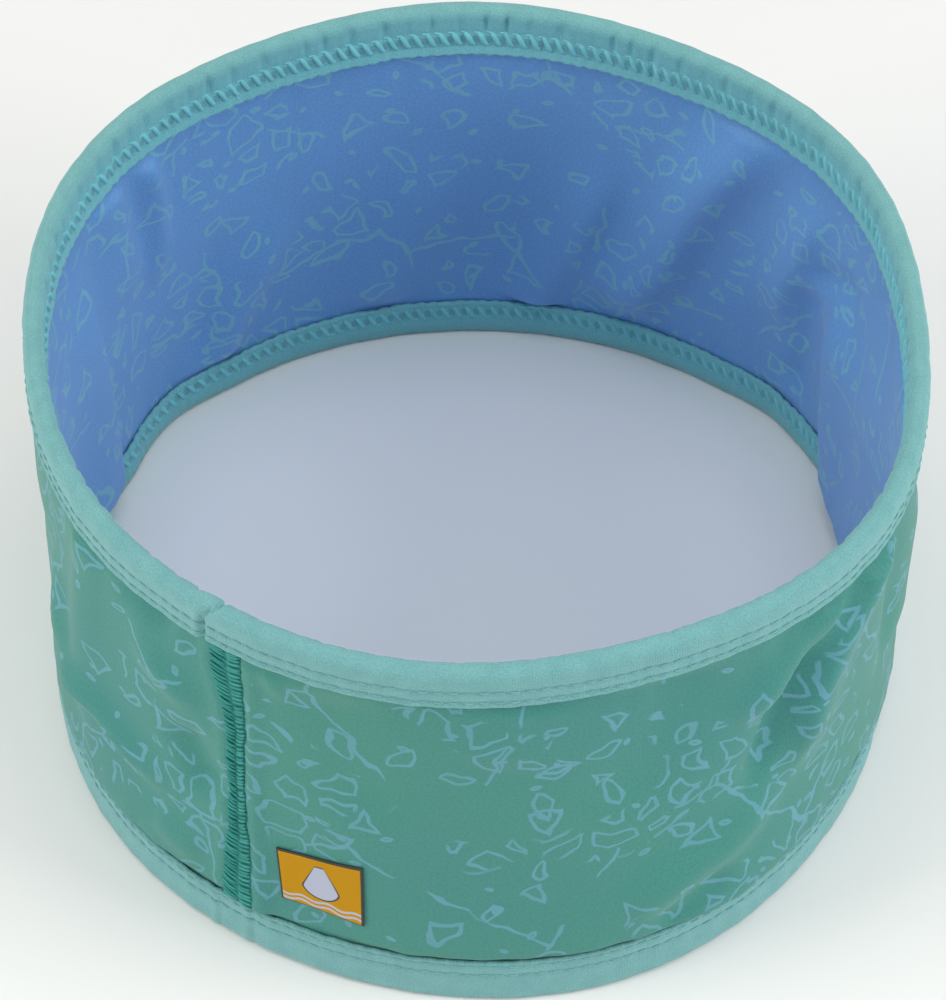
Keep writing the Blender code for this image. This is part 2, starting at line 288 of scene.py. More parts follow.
def drawn_offs(angle, rise):
    """Both faces off the plain wall before they meet: each cloth's stand-off plus its creases, slack and ripples,
    and the seam's roll outside."""
    height = bpy.context.scene.gaiter_sizes.height
    shared = crease_relief(SHARED_CREASES, angle, rise)
    faces = []
    for leg, way, creases, slack, seed in (("outer", 1, OUTER_CREASES, OUTER_SLACK, 1),
                                           ("inner", -1, LINING_CREASES, LINING_SLACK, 3)):
        low, high = LOWER_TAPE[leg], height - UPPER_TAPE[leg]
        own = crease_relief(creases, angle, rise) + ripples(angle, rise, low, high, seed)
        if leg == "outer":
            own = own + seam_roll(angle, rise)
        faces.append(way * (CLOTH_FACE + slack_relief(slack, angle, rise, low))
                     + tucked(rise, low, high) * (shared + way * own))
    return faces


def met_offs(angle, rise):
    """Both faces once the cloths have met: where they come nearer than both walls and 0.15 mm, the outer cloth
    gives way at the back and the lining at the front, over a soft change between the two."""
    outside, inside = drawn_offs(angle, rise)
    short = np.maximum(inside + 2 * CLOTH_WALL + 0.15 * MM - outside, 0)
    behind = 0.5 + 0.5 * np.tanh(np.sin(np.radians(angle + 4)) * 8)
    return outside + short * behind, inside - short * (1 - behind)


def over_cloth(angle, rise, lift):
    """Points over the sagged outer cloth, lifted off its face."""
    return place(angle, sagged(OUTER_SAG, angle, rise, LOWER_TAPE["outer"]), met_offs(angle, rise)[0] + lift)


def graded(total, spots, width, count):
    """Places from 0 to total, closer together near the spots: equal steps of 1 plus 3 bells, summed up."""
    fine = np.linspace(0, total, 2000)
    density = 1 + 3 * sum(bell(fine - spot, width) for spot in spots)
    run = np.concatenate([[0], np.cumsum((density[1:] + density[:-1]) / 2)])
    return np.interp(np.linspace(0, run[-1], count), run, fine)


def tape_section(tape, upper, arc):
    """The tape's outer face in section by the arc from its first raw edge: down or up one leg, half a circle over
    the rim, and along the other leg. Gives (off, depth from the rim, normal off, normal along the rise)."""
    first = (tape["outer"] if upper else tape["inner"]) - TAPE_HALF
    side = 1 if upper else -1
    bend = np.clip((arc - first) / TAPE_HALF, 0, math.pi)
    off = side * TAPE_HALF * np.cos(bend)
    leg = np.where(arc < first, first - arc, np.maximum(arc - first - math.pi * TAPE_HALF, 0))
    depth = TAPE_HALF * (1 - np.sin(bend)) + leg
    return off, depth, side * np.cos(bend), side * np.sin(bend)


def tape_length(tape):
    """Both legs less the fold's radius, and the half circle of the fold."""
    return tape["outer"] + tape["inner"] + (math.pi - 2) * TAPE_HALF


def tape_rows(tape, upper):
    """Arcs of the two needle rows outside and of the two rows of chain inside, in the order (near, far)."""
    needles = [tape["outer"] - depth for depth in tape["needles"]]
    chain = [tape["inner"] - depth for depth in tape["chain"]]
    total = tape_length(tape)
    return (needles, [total - arc for arc in chain]) if upper else ([total - arc for arc in needles], chain)


def tape_relief(tape, upper, angle, arc):
    """Relief along the section's normal: a fuller fold, a groove at each row of stitches, lifted raw edges, puckers
    and gathers on the chain's side, and a run of dents inside the upper fold."""
    total = tape_length(tape)
    needles, chain = tape_rows(tape, upper)
    across = angle * DEGREE
    stitch = np.cos(angle * STITCHES * math.pi / 180)
    outer_edge, inner_edge = (arc, total - arc) if upper else (total - arc, arc)
    relief = 0.24 * bell(arc - total / 2, 3.6 * MM)
    relief = relief - (0.18 + 0.05 * stitch) * sum(bell(arc - row, 0.55 * MM) for row in needles + chain)
    relief = relief + (0.16 + 0.06 * stitch) * (bell(outer_edge, 0.9 * MM) + bell(inner_edge, 0.9 * MM))
    inside = smooth((outer_edge - (tape["outer"] - TAPE_HALF)) / (3 * MM))
    pucker = np.abs(uneven(across, (4.6, 3.3, 6.1), 2)) ** 1.4
    gathers = uneven(across, (14.3, 9.7, 21.1), 4)
    relief = relief - inside * (0.3 * pucker + 0.2 * gathers) * bell(arc - np.mean(chain), 5.2 * MM)
    relief = relief + 0.12 * uneven(across, (8.3, 13.9, 5.1), 7) * (1 - inside)
    if upper:
        dents = np.maximum(np.sin(2 * math.pi * (across + 1.5 * uneven(across, (19.7, 31.3), 5)) / 4.8), 0) ** 2
        dents = dents * (0.6 + 0.4 * uneven(across, (11.3, 27.1), 8))
        relief = relief - inside * 0.95 * dents * bell(arc - total / 2 - 2.6 * MM, 2.2 * MM)
    return relief * MM


def join_relief(upper, angle, arc, tape):
    """The tape's butt join by the seam. Above, the left end stands up to 0.4 mm over the right one, with a slit
    between. Below, the turned end shows as two low ridges."""
    total = tape_length(tape)
    if upper:
        line = 236.4 - 1.9 * smooth((0.62 * total - arc) / (8 * MM)) + 0.8 * bell(arc - 0.42 * total, 2 * MM)
        gap = turn_between(angle, line) * DEGREE
        return (0.4 * smooth(1 + gap / 5) * (gap < 0) - 0.75 * bell(gap - 0.25, 0.5)) * MM
    ridges = (turn_between(angle, 234.6) * DEGREE, turn_between(angle, 239.6) * DEGREE)
    return 0.22 * MM * sum(bell(ridge, 0.8) - bell(ridge - 1.0, 0.5) for ridge in ridges)


def tape_place(tape, upper, angle, arc, lift):
    """Points on the tape's face at an angle and an arc, lifted off it along the section's normal."""
    sizes = bpy.context.scene.gaiter_sizes
    across = angle * DEGREE
    scallop = 0.09 * np.cos(angle * STITCHES * math.pi / 180) + 0.12 * uneven(across, (7.7, 3.9, 12.3), 9)
    total = tape_length(tape)
    shifted = arc + scallop * MM * (bell(arc, 1.1 * MM) + bell(total - arc, 1.1 * MM))
    off, depth, normal_off, normal_rise = tape_section(tape, upper, shifted)
    proud = tape_relief(tape, upper, angle, arc) + join_relief(upper, angle, arc, tape) + lift
    rise = (sizes.height - depth if upper else depth) + normal_rise * proud
    if upper:
        rise = np.minimum(rise, sizes.height + 0.4 * MM)
    else:
        pressed = bell(arc - (tape["inner"] - TAPE_HALF + math.pi / 2 * TAPE_HALF), 2.4 * MM)
        rise = np.maximum(rise - 0.2 * MM * pressed, 0)
    return place(angle, rise, off + normal_off * proud)


def put_mesh(name, points, faces, uv, material, attributes=None):
    """A mesh object from whole arrays: points (n, 3), faces (m, 4), uv for each corner (m, 4, 2)."""
    mesh = bpy.data.meshes.new(name)
    mesh.vertices.add(len(points))
    mesh.vertices.foreach_set("co", np.ascontiguousarray(points, np.float32).ravel())
    mesh.loops.add(faces.size)
    mesh.loops.foreach_set("vertex_index", np.ascontiguousarray(faces, np.int32).ravel())
    mesh.polygons.add(len(faces))
    mesh.polygons.foreach_set("loop_start", np.arange(0, faces.size, 4, dtype=np.int32))
    mesh.update(calc_edges=True)
    mesh.uv_layers.new(name="cloth").uv.foreach_set("vector", np.ascontiguousarray(uv, np.float32).ravel())
    for label, values in (attributes or {}).items():
        attribute = mesh.attributes.new(label, "FLOAT", "POINT")
        attribute.data.foreach_set("value", np.ascontiguousarray(values, np.float32).ravel())
    mesh.validate()
    mesh.shade_smooth()
    piece = bpy.data.objects.new(name, mesh)
    bpy.context.scene.collection.objects.link(piece)
    mesh.materials.append(material)
    return piece


def grid_mesh(name, points, uv, material, closed, flip=False):
    """A sheet from a grid of points (rows, columns, 3). A closed one joins its last column to its first, and its
    uv grid has one more column, so that the pattern runs on past the join."""
    rows, columns = points.shape[:2]
    index = np.arange(rows * columns).reshape(rows, columns)
    here = index if closed else index[:, :-1]
    there = np.roll(index, -1, axis=1) if closed else index[:, 1:]
    quads = [(here[:-1], uv[:-1, :-1]), (there[:-1], uv[:-1, 1:]), (there[1:], uv[1:, 1:]), (here[1:], uv[1:, :-1])]
    if flip:
        quads = quads[::-1]
    faces = np.stack([quad[0] for quad in quads], axis=-1).reshape(-1, 4)
    corner_uv = np.stack([quad[1] for quad in quads], axis=-2).reshape(-1, 4, 2)
    return put_mesh(name, points.reshape(-1, 3), faces, corner_uv, material)


def thread_mesh(name, paths, normals, radius, sides, material):
    """Round threads carried along paths (threads, steps, 3): each ring is the radius times cosine of the turn
    along the normal plus sine of the turn along the side, which is the normal crossed with the path's way."""
    count, steps = paths.shape[:2]
    way = np.gradient(paths, axis=1)
    way /= np.linalg.norm(way, axis=-1, keepdims=True)
    beside = np.cross(way, normals)
    beside /= np.linalg.norm(beside, axis=-1, keepdims=True)
    upward = np.cross(beside, way)
    turn = np.linspace(0, 2 * math.pi, sides, endpoint=False)
    radius = np.broadcast_to(radius, (count, steps))[..., None, None]
    ring = upward[:, :, None] * np.cos(turn)[:, None] + beside[:, :, None] * np.sin(turn)[:, None]
    points = paths[:, :, None] + radius * ring
    index = np.arange(count * steps * sides).reshape(count, steps, sides)
    near, far = index[:, :-1], index[:, 1:]
    faces = [np.stack([near, far, np.roll(far, -1, axis=2), np.roll(near, -1, axis=2)], axis=-1).reshape(-1, 4)]
    for cap in (index[:, 0], index[:, -1, ::-1]):
        faces += [np.stack([cap[:, k], cap[:, k + 1], cap[:, -2 - k], cap[:, -1 - k]], axis=-1)
                  for k in range(sides // 2 - 1)]
    faces = np.concatenate(faces)
    tint = np.repeat(np.random.default_rng(7).random(count), steps * sides)
    return put_mesh(name, points.reshape(-1, 3), faces, np.zeros((len(faces), 4, 2)), material, {"strand": tint})


def finish_piece(piece, node=None, wall=0):
    """Grows a sheet's real wall inwards from its drawn face, attaches the piece to the root body, and hides the part
    node that it stands for.
    """
    if wall:
        solidify = piece.modifiers.new("wall", "SOLIDIFY")
        solidify.thickness = wall
        solidify.offset = -1
    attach(piece, "root")
    if node:
        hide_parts(node)
    return piece


def add(tree, kind, sockets=(), **own):
    """Adds a node, with its operation after a space in its kind. The sockets are values or sources in order, or
    by their names or numbers, and the keywords are the node's own settings."""
    kind, _, operation = kind.partition(" ")
    node = tree.nodes.new("ShaderNode" + kind)
    if operation:
        node.operation = operation
    for key, value in own.items():
        setattr(node, key, value)
    for key, value in (sockets if isinstance(sockets, dict) else dict(enumerate(sockets))).items():
        source = value.outputs[0] if isinstance(value, bpy.types.Node) else value
        if isinstance(source, bpy.types.NodeSocket):
            tree.links.new(source, node.inputs[key])
        else:
            node.inputs[key].default_value = source
    return node


def start_material(name, roughness, sheen, tint, gloss=0.3):
    """A new material with its Principled shader, whose constant sockets are set here."""
    material = bpy.data.materials.new(name)
    material.use_nodes = True
    shader = material.node_tree.nodes["Principled BSDF"]
    for socket, value in (("Roughness", roughness), ("Specular IOR Level", gloss), ("Sheen Weight", sheen),
                          ("Sheen Roughness", 0.5), ("Sheen Tint", (*tint, 1))):
        shader.inputs[socket].default_value = value
    return material, material.node_tree, shader


def cloth_millimetres(tree):
    """The cloth's own flat place in mm, along the rim and up, from its UV map."""
    return add(tree, "VectorMath SCALE", {0: add(tree, "UVMap", uv_map="cloth"), "Scale": UV_SPAN / MM})


def largest(tree, masks):
    """The largest of several masks."""
    total = masks[0]
    for mask in masks[1:]:
        total = add(tree, "Math MAXIMUM", (total, mask))
    return total


def drawn_line(tree, distance, width, soft=0.08):
    """1 where the distance from a line's middle is under half its width, with softened edges, all in mm."""
    away = add(tree, "Math ABSOLUTE", (distance,))
    return add(tree, "MapRange", (away, width / 2 - soft, width / 2 + soft, 1.0, 0.0),
               interpolation_type="SMOOTHSTEP")


def shifted(tree, place_mm, offset, more=0):
    """The place moved by an offset in mm, with a further step for each layer of the print."""
    return add(tree, "VectorMath ADD", (place_mm, (offset[0] + more * 7.3, offset[1] + more * 5.9, 0)))


def warped(tree, place_mm, size, amount, detail):
    """The place pushed about by a soft noise: the noise's colour less a half, times the amount in mm."""
    noise = add(tree, "TexNoise", {"Vector": place_mm, "Scale": 1 / size, "Detail": detail}, noise_dimensions="2D")
    centred = add(tree, "VectorMath SUBTRACT", (noise.outputs["Color"], (0.5, 0.5, 0.5)))
    push = add(tree, "VectorMath SCALE", {0: centred, "Scale": amount})
    return add(tree, "VectorMath ADD", (place_mm, push))


def cell_edges(tree, place_mm, cell):
    """The distance in mm to the nearest edge of a Voronoi pattern, so that lines drawn from it keep one width."""
    edges = add(tree, "TexVoronoi", {"Vector": place_mm, "Scale": 1 / cell, "Randomness": 1.0},
                feature="DISTANCE_TO_EDGE", voronoi_dimensions="2D")
    return add(tree, "Math MULTIPLY", (edges.outputs["Distance"], cell))


def lone_figures(tree, place_mm, cell, size, keep, width, leaf):
    """Small closed outlines, one to a cell of a Voronoi pattern, each with its own turn and size from the cell's
    random colour. A leaf is where two circles overlap. A shard is a slender triangle, the larger of the distances
    to its base and to its sides. Both distances grow by 1 a millimetre, so that the line keeps one width."""
    cells = add(tree, "TexVoronoi", {"Vector": place_mm, "Scale": 1 / cell, "Randomness": 0.6},
                voronoi_dimensions="2D")
    middle = add(tree, "VectorMath SUBTRACT", (place_mm, cells.outputs["Position"]))
    chance = add(tree, "SeparateColor", (cells.outputs["Color"],))
    turn = add(tree, "Math MULTIPLY", (chance.outputs[0], 6.28))
    turned = add(tree, "VectorRotate", {"Vector": middle, "Angle": turn}, rotation_type="Z_AXIS")
    across, up, _ = add(tree, "SeparateXYZ", (turned,)).outputs
    beside = add(tree, "Math ABSOLUTE", (across,))
    own = add(tree, "MapRange", {0: chance.outputs[1], 3: size * 0.45, 4: size})
    if leaf:
        arm = add(tree, "CombineXYZ", (add(tree, "Math MULTIPLY_ADD", (own, 1.9, beside)), up))
        reach = add(tree, "VectorMath LENGTH", (arm,)).outputs["Value"]
        past = add(tree, "Math MULTIPLY_ADD", (own, -2.9, reach))
    else:
        sides = add(tree, "Math MULTIPLY_ADD", (beside, 0.89, add(tree, "Math MULTIPLY", (up, 0.45))))
        base = add(tree, "Math MULTIPLY", (up, -1.0))
        past = add(tree, "Math SUBTRACT", (largest(tree, (sides, base)), own))
    kept = add(tree, "Math LESS_THAN", (chance.outputs[2], keep))
    return add(tree, "Math MULTIPLY", (drawn_line(tree, past, width), kept))


def patches_of(tree, place_mm, size, low):
    """A mask of broad patches: a soft noise turned to 0 and 1 over a step of 0.02."""
    noise = add(tree, "TexNoise", {"Vector": place_mm, "Scale": 1 / size, "Detail": 0.0}, noise_dimensions="2D")
    return add(tree, "MapRange", (noise, low, low + 0.02))


def print_of_drift(tree, place_mm, offset):
    """The cloth's print: broken long lines and crowds of pebbles in patches, and lone leaves, shards and specks in
    between. The lines are about 0.7 mm wide."""
    wavy = warped(tree, place_mm, 7, 4.5, 1.5)
    crowd = patches_of(tree, shifted(tree, place_mm, offset, 11), 25, 0.54)
    calm = add(tree, "Math SUBTRACT", (1.0, crowd))
    pebble, pebble_place = 6.6, shifted(tree, wavy, offset, 17)
    cells = add(tree, "TexVoronoi", {"Vector": pebble_place, "Scale": 1 / pebble, "Randomness": 1.0},
                voronoi_dimensions="2D")
    inset = add(tree, "MapRange", {0: cells.outputs["Color"], 3: 0.5, 4: 3.0})
    pebbles = add(tree, "Math SUBTRACT", (cell_edges(tree, pebble_place, pebble), inset))
    long_lines = cell_edges(tree, shifted(tree, wavy, offset, 29), 34)
    layers = (
        (drawn_line(tree, long_lines, 0.7), patches_of(tree, shifted(tree, place_mm, offset, 71), 16, 0.5)),
        (drawn_line(tree, pebbles, 0.66), crowd),
        (lone_figures(tree, shifted(tree, wavy, offset, 41), 12, 1.7, 0.55, 0.7, True), calm),
        (lone_figures(tree, shifted(tree, wavy, offset, 57), 14, 1.9, 0.5, 0.7, False), calm),
    )
    specks = lone_figures(tree, shifted(tree, place_mm, offset, 83), 8, 0.42, 0.3, 0.6, True)
    return largest(tree, [add(tree, "Math MULTIPLY", layer) for layer in layers] + [specks])


def knit_bump(tree, place_mm, shader, strength, nap):
    """A fine interlock knit: upright wales 0.45 mm apart and courses 0.4 mm apart, with a little nap. Real wales
    are nearer 0.3 mm, which is under two pixels, so they are drawn coarser."""
    wales, courses = (
        add(tree, "TexWave", {"Vector": place_mm, "Scale": 0.314 / apart, "Distortion": 0.6, "Detail": 1.0,
                              "Detail Scale": 2.0}, bands_direction=axis).outputs["Fac"]
        for axis, apart in (("X", 0.45), ("Y", 0.4)))
    fuzz = add(tree, "TexNoise", {"Vector": place_mm, "Scale": 1 / nap, "Detail": 1.5}, noise_dimensions="2D")
    height = add(tree, "Math MULTIPLY_ADD", (add(tree, "Math MULTIPLY", (wales, courses)), 0.5, fuzz))
    bump = add(tree, "Bump", {"Height": height, "Strength": strength, "Distance": 0.2 * MM})
    tree.links.new(bump.outputs[0], shader.inputs["Normal"])
    return fuzz


def printed_interlock_knit(cloth, offset, strength, sheen, tint):
    """Polyester interlock knit, heat-transfer printed: smooth and nearly matt with a soft sheen, a ground that
    drifts a little in hue, and thin pale print lines that lie in the yarn and so keep the cloth's own relief."""
    colours = bpy.context.scene.gaiter_colours
    ground, shade, ink_colour = ((*getattr(colours, cloth + part), 1) for part in ("", "_shade", "_print"))
    material, tree, shader = start_material("printed_interlock_knit_" + cloth, 0.55, sheen, tint, 0.27)
    place_mm = cloth_millimetres(tree)
    drift, fade = (add(tree, "TexNoise", {"Vector": place_mm, "Scale": 1 / size, "Detail": 0.5}, noise_dimensions="2D")
                   for size in (42, 6))
    ground_mix = add(tree, "Mix", {0: drift, 6: ground, 7: shade}, data_type="RGBA")
    fuzz = knit_bump(tree, place_mm, shader, 0.22, 0.5)
    speck = add(tree, "MapRange", (fuzz, 0.3, 0.7, 0.93, 1.06))
    grained = add(tree, "VectorMath SCALE", {0: ground_mix.outputs[2], "Scale": speck})
    worn = add(tree, "MapRange", (fade, 0.3, 0.7, strength * 0.8, strength))
    ink = add(tree, "Math MULTIPLY", (print_of_drift(tree, place_mm, offset), worn))
    printed = add(tree, "Mix", {0: ink, 6: grained, 7: ink_colour}, data_type="RGBA")
    tree.links.new(printed.outputs[2], shader.inputs["Base Color"])
    return material


def stitch_pits(tree, place_mm, rows, pitch, length, width):
    """Needle holes along rows of the tape: 1 within half the length along and half the width across of each, once
    per pitch. The tape's own place gives the way along the rim as x and the arc over the section as y."""
    along_rim, arc, _ = add(tree, "SeparateXYZ", (place_mm,)).outputs
    along = drawn_line(tree, add(tree, "Math PINGPONG", (along_rim, pitch / 2)), length, 0.15)
    lines = [drawn_line(tree, add(tree, "Math SUBTRACT", (arc, row / MM)), width) for row in rows]
    return add(tree, "Math MULTIPLY", (along, largest(tree, lines)))


def brushed_fold_tape(name, tape, upper):
    """Brushed nylon and elastane fold-over tape: a short dense nap that scatters light, so it looks soft and
    pale where it turns away, a lighter, deeper teal painted on the inner leg as bounce light, and painted shade
    in the needle holes along its grooves and in the chain's gaps."""
    colours = bpy.context.scene.gaiter_colours
    material, tree, shader = start_material(name, 0.85, 0.35, (0.75, 1.0, 0.95))
    place_mm = cloth_millimetres(tree)
    pitch = 360 * DEGREE / STITCHES
    fuzz = knit_bump(tree, place_mm, shader, 0.45, 0.35)
    mottle = add(tree, "TexNoise", {"Vector": place_mm, "Scale": 1 / 3.5, "Detail": 2.0}, noise_dimensions="2D")
    mixed = add(tree, "Mix", {0: mottle, 6: (*colours.tape, 1), 7: (*colours.tape_shade, 1)}, data_type="RGBA")
    # Painted bounce light: the inner leg is mixed to the tape-inside colour, lighter and more saturated than the tape.
    fold = tape["outer" if upper else "inner"] / MM
    start, end = (fold + 2.0, fold + 5.2) if upper else (fold - 0.8, fold - 4.0)
    inward = add(tree, "MapRange", (add(tree, "SeparateXYZ", (place_mm,)).outputs[1], start, end))
    bounce_painted = add(tree, "Mix", {0: inward, 6: mixed.outputs[2], 7: (*colours.tape_painted_bounce, 1)}, data_type="RGBA")
    speck = add(tree, "MapRange", (fuzz, 0.3, 0.7, 0.9, 1.08))
    grained = add(tree, "VectorMath SCALE", {0: bounce_painted.outputs[2], "Scale": speck})
    needles, chain = tape_rows(tape, upper)
    # Painted shade: the needle holes and the chain's gaps are darkened towards the needle-hole colour.
    holes = stitch_pits(tree, place_mm, needles, pitch, 1.2, 0.6)
    gaps = stitch_pits(tree, place_mm, [np.mean(chain)], pitch, 1.2, 1.8)
    dark = largest(tree, (add(tree, "Math MULTIPLY", (holes, 0.6)), gaps))
    depth = add(tree, "Math MULTIPLY", (dark, 0.36))
    shaded = add(tree, "Mix", {0: depth, 6: grained, 7: (*colours.tape_painted_shade, 1)}, data_type="RGBA")
    tree.links.new(shaded.outputs[2], shader.inputs["Base Color"])
    return material


def spun_thread(name, colour, deep, roughness=0.8):
    """Spun polyester sewing thread: matt, each stitch a little lighter or darker than the next."""
    material, tree, shader = start_material(name, roughness, 0.1, (0.7, 1.0, 1.0))
    strand = add(tree, "Attribute", attribute_name="strand").outputs["Fac"]
    spot = add(tree, "TexCoord").outputs["Object"]
    twist = add(tree, "TexNoise", {"Vector": spot, "Scale": 3500.0, "Detail": 1.0})
    share = add(tree, "MapRange", (add(tree, "Math MULTIPLY_ADD", (strand, 0.6, twist)), 0.3, 1.3))
    mixed = add(tree, "Mix", {0: share, 6: (*deep, 1), 7: (*colour, 1)}, data_type="RGBA")
    tree.links.new(mixed.outputs[2], shader.inputs["Base Color"])
    return material


def woven_damask_patch(name, width, height):
    """Woven damask patch: gold satin ground with a fine rib, a merrowed dark edge, and a pale drop of water with
    a dark outline over two ripples."""
    colours = bpy.context.scene.gaiter_colours
    width, height = width / MM, height / MM
    material, tree, shader = start_material(name, 0.6, 0.0, (1, 0.9, 0.7), 0.1)
    place_mm = add(tree, "VectorMath MULTIPLY", (add(tree, "UVMap", uv_map="cloth"), (width, height, 0)))
    from_left, from_foot, _ = add(tree, "SeparateXYZ", (place_mm,)).outputs
    across = add(tree, "Math SUBTRACT", (from_left, width / 2))
    above = add(tree, "Math SUBTRACT", (from_foot, height * 0.47))
    taper = add(tree, "MapRange", (above, -1.0, 6.2, 1.0, 0.16))
    drawn_in = add(tree, "Math DIVIDE", (across, taper))
    round_foot = add(tree, "CombineXYZ", (drawn_in, add(tree, "Math MINIMUM", (above, 0.0))))
    reach = add(tree, "VectorMath LENGTH", (round_foot,)).outputs["Value"]
    drop = largest(tree, (add(tree, "Math SUBTRACT", (reach, 3.5)), add(tree, "Math SUBTRACT", (above, 5.6))))
    inside = add(tree, "Math LESS_THAN", (drop, 0.0))
    outline = drawn_line(tree, drop, 0.34)
    wave = add(tree, "Math SINE", (add(tree, "Math MULTIPLY", (across, 1.25)),))
    bent = [add(tree, "Math MULTIPLY_ADD", (wave, 0.35, level)) for level in (-4.5, -5.7)]
    waves = [drawn_line(tree, add(tree, "Math SUBTRACT", (above, line)), 0.55) for line in bent]
    pale = largest(tree, (inside, *waves))
    rib = add(tree, "TexWave", {"Vector": place_mm, "Scale": 0.314 / 0.3, "Distortion": 0.8},
              bands_direction="Y").outputs["Fac"]
    ribbed = add(tree, "MapRange", {0: rib, 3: 0.88, 4: 1.05})
    from_middle = add(tree, "Math SUBTRACT", (from_foot, height / 2))
    side, end = (add(tree, "Math GREATER_THAN", (add(tree, "Math ABSOLUTE", (offset,)), limit))
                 for offset, limit in ((across, width / 2 - 0.42), (from_middle, height / 2 - 0.38)))
    shown = add(tree, "VectorMath SCALE", {0: colours.patch, "Scale": ribbed}).outputs[0]
    for mask, colour in ((pale, colours.figure), (outline, colours.patch_edge),
                         (largest(tree, (side, end)), colours.patch_edge)):
        shown = add(tree, "Mix", {0: mask, 6: shown, 7: (*colour, 1)}, data_type="RGBA").outputs[2]
    tree.links.new(shown, shader.inputs["Base Color"])
    bump = add(tree, "Bump", {"Height": rib, "Strength": 0.3, "Distance": 0.2 * MM})
    tree.links.new(bump.outputs[0], shader.inputs["Normal"])
    return material


def colour(name, value, description):
    """A colour that a user can change, from its sRGB hex value."""
    return bpy.props.FloatVectorProperty(name=name, description=description, subtype="COLOR", default=linear(value))


def length(name, value, low, high, description):
    """A length that a user can change."""
    return bpy.props.FloatProperty(name=name, description=description, default=value, min=low, max=high,
                                   unit="LENGTH", precision=5)


def light_power(name, value, description):
    """A light's power that a user can change."""
    return bpy.props.FloatProperty(name=name, description=description, default=value, min=0, max=500,
                                   subtype="POWER", unit="POWER")


class GaiterSizes(bpy.types.PropertyGroup):
    neck_radius: length("Neck radius", 0.075, 0.03, 0.2, "Mean radius of the upper rim, midway between the cloths")
    foot_radius: length("Foot radius", 0.0764, 0.03, 0.2, "Mean radius of the lower rim, midway between the cloths")
    height: length("Height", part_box("top_binding")[1].z, 0.03, 0.3, "Of the standing gaiter, read from the frame")
    round_steps: bpy.props.IntProperty(
        name="Steps round", description="Columns of both cloths round the rim", default=560, min=60, max=700)
    thread_radius: length("Thread radius", 0.00019, 0.00005, 0.001, "Half the thickness of the sewing thread")


class GaiterColours(bpy.types.PropertyGroup):
    outer: colour("Outer cloth", "#438E7F", "Ground of the outer cloth")
    outer_shade: colour("Outer cloth, cooler", "#3B8885", "What the outer ground drifts to")
    outer_print: colour("Outer print", "#66A2B6", "Print lines on the outer cloth")
    lining: colour("Lining", "#679BD5", "Ground of the lining")
    lining_shade: colour("Lining, deeper", "#6398CF", "What the lining's ground drifts to")
    lining_print: colour("Lining print", "#74B4C8", "Print lines on the lining")
    tape: colour("Tape", "#7BB4B4", "The binding tape's nap")
    tape_shade: colour("Tape, deeper", "#6BA5A8", "What the tape's nap drifts to")
    # Tape inside: painted bounce light on the tapes' inner leg, not a less worn nap; the looper threads take it as
    # their darker tone.
    tape_painted_bounce: colour("Tape inside", "#74BCC4", "The tape's nap inside, where it is less worn")
    looper: colour("Looper thread", "#7CCCD6", "The chain of thread inside the tapes")
    # Needle holes: painted shade in the needle holes and in the gaps of the chain.
    tape_painted_shade: colour("Needle holes", "#2B6C70", "The dark of the needle holes and the chain's gaps")
    seam: colour("Overlock thread", "#43A59D", "The side seam's thread")
    # Overlock shadow: painted shade on the seam's bed, and the tone of the seam's darker strands.
    seam_deep: colour("Overlock shadow", "#28827B", "The side seam's darker strands and its bed")
    patch: colour("Patch", "#C9920A", "The patch's ground")
    patch_edge: colour("Patch edge", "#4A4A42", "The patch's edge and outlines")
    figure: colour("Figure", "#BAC0D4", "The pale figure on the patch")


class GaiterStudio(bpy.types.PropertyGroup):
    distance: length("Camera distance", 0.75, 0.2, 5, "From the aim point to the camera")
    elevation: bpy.props.FloatProperty(
        name="Camera elevation", description="How far above the level the camera stands",
        default=math.radians(50.7), min=0.02, max=1.5, subtype="ANGLE", unit="ROTATION")
    lens: bpy.props.FloatProperty(name="Lens", description="Focal length in mm", default=152.6, min=20, max=400)
    sky: bpy.props.FloatProperty(
        name="Room light", description="Strength of the even light", default=0.58, min=0, max=5)
    key: light_power("Key light", 4.0, "Power of the overhead softbox")
    right: light_power("Right light", 5.1, "Power of the right softbox")
    left: light_power("Left light", 4.7, "Power of the left softbox")


def rim_uv(angle, up):
    """A UV grid from the angles of its columns and the lengths of its rows, as shares of the map's span."""
    across = np.broadcast_to(angle * DEGREE * MM / UV_SPAN, (len(up), len(angle)))
    return np.stack([across, np.broadcast_to(up[:, None] / UV_SPAN, across.shape)], axis=-1)


def make_cloth(name, node, leg, sag, knit):
    """A cloth as one closed tube that starts at the seam. Its rows are tucked under both tapes, and lie closer
    together at the tapes' edges. Every point is on the cloth's face at its angle and sagged height."""
    sizes = bpy.context.scene.gaiter_sizes
    low, high = LOWER_TAPE[leg], sizes.height - UPPER_TAPE[leg]
    rows = graded(sizes.height - 4.5 * MM, (low - 2 * MM, high - 2 * MM), 5 * MM, 72) + 2 * MM
    turn = np.arange(sizes.round_steps + 1) * 360 / sizes.round_steps
    angle, rise = FIRST_COLUMN + turn[None, :-1], rows[:, None]
    lining = leg == "inner"
    points = place(angle, sagged(sag, angle, rise, low), met_offs(angle, rise)[1 if lining else 0])
    piece = grid_mesh(name, points, rim_uv(turn, rows), knit, closed=True, flip=lining)
    finish_piece(piece, node, CLOTH_WALL)


class GAITER_OT_outer_cloth(bpy.types.Operator):
    """Makes the printed outer cloth, one closed tube"""
    bl_idname = "gaiter.outer_cloth"
    bl_label = "Outer cloth"

    def execute(self, context):
        knit = printed_interlock_knit("outer", (0, 0), 0.78, 0.12, (0.9, 1.0, 0.85))
        make_cloth("outer_cloth", "outer_shell", "outer", OUTER_SAG, knit)
        return {"FINISHED"}


